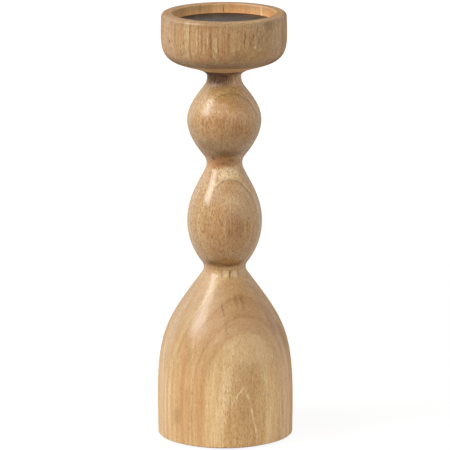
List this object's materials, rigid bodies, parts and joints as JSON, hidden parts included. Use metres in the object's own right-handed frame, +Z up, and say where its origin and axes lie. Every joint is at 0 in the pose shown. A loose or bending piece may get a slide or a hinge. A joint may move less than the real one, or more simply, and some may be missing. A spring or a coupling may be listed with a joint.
{
  "type": "pillar candle holder",
  "caption": "Tall turned wooden pillar candle holder: a bell-shaped base, a stem of two beads and a straight-sided cup with a loose black steel plate.",
  "frame": {"origin": "centre of the felt's underside, on the surface that the holder stands on", "axes": "+Z up the turning axis, from the foot to the rim; the holder is the same all round, and +Y points away from the viewer in the picture"},
  "size_m": [0.0984, 0.0984, 0.3115],
  "materials": {
    "wood": "pale honey mango wood under a satin lacquer",
    "plate_steel": "satin black powder coat",
    "screw_steel": "bright zinc plate",
    "felt": "dense dark brown felt"
  },
  "bodies": {
    "stand": {"bell_base": "wood", "bead_stem": "wood", "candle_cup": "wood", "felt_pad": "felt", "cup_screw": "screw_steel", "cup_screw_washer": "screw_steel", "base_screw": "screw_steel", "base_screw_washer": "screw_steel"},
    "plate": {"candle_plate": "plate_steel"}
  },
  "joints": [
    {"name": "plate_lift", "type": "slide", "parent": "stand", "child": "plate", "axis": [0, 0, 1], "range_m": [0, 0.02]}
  ]
}
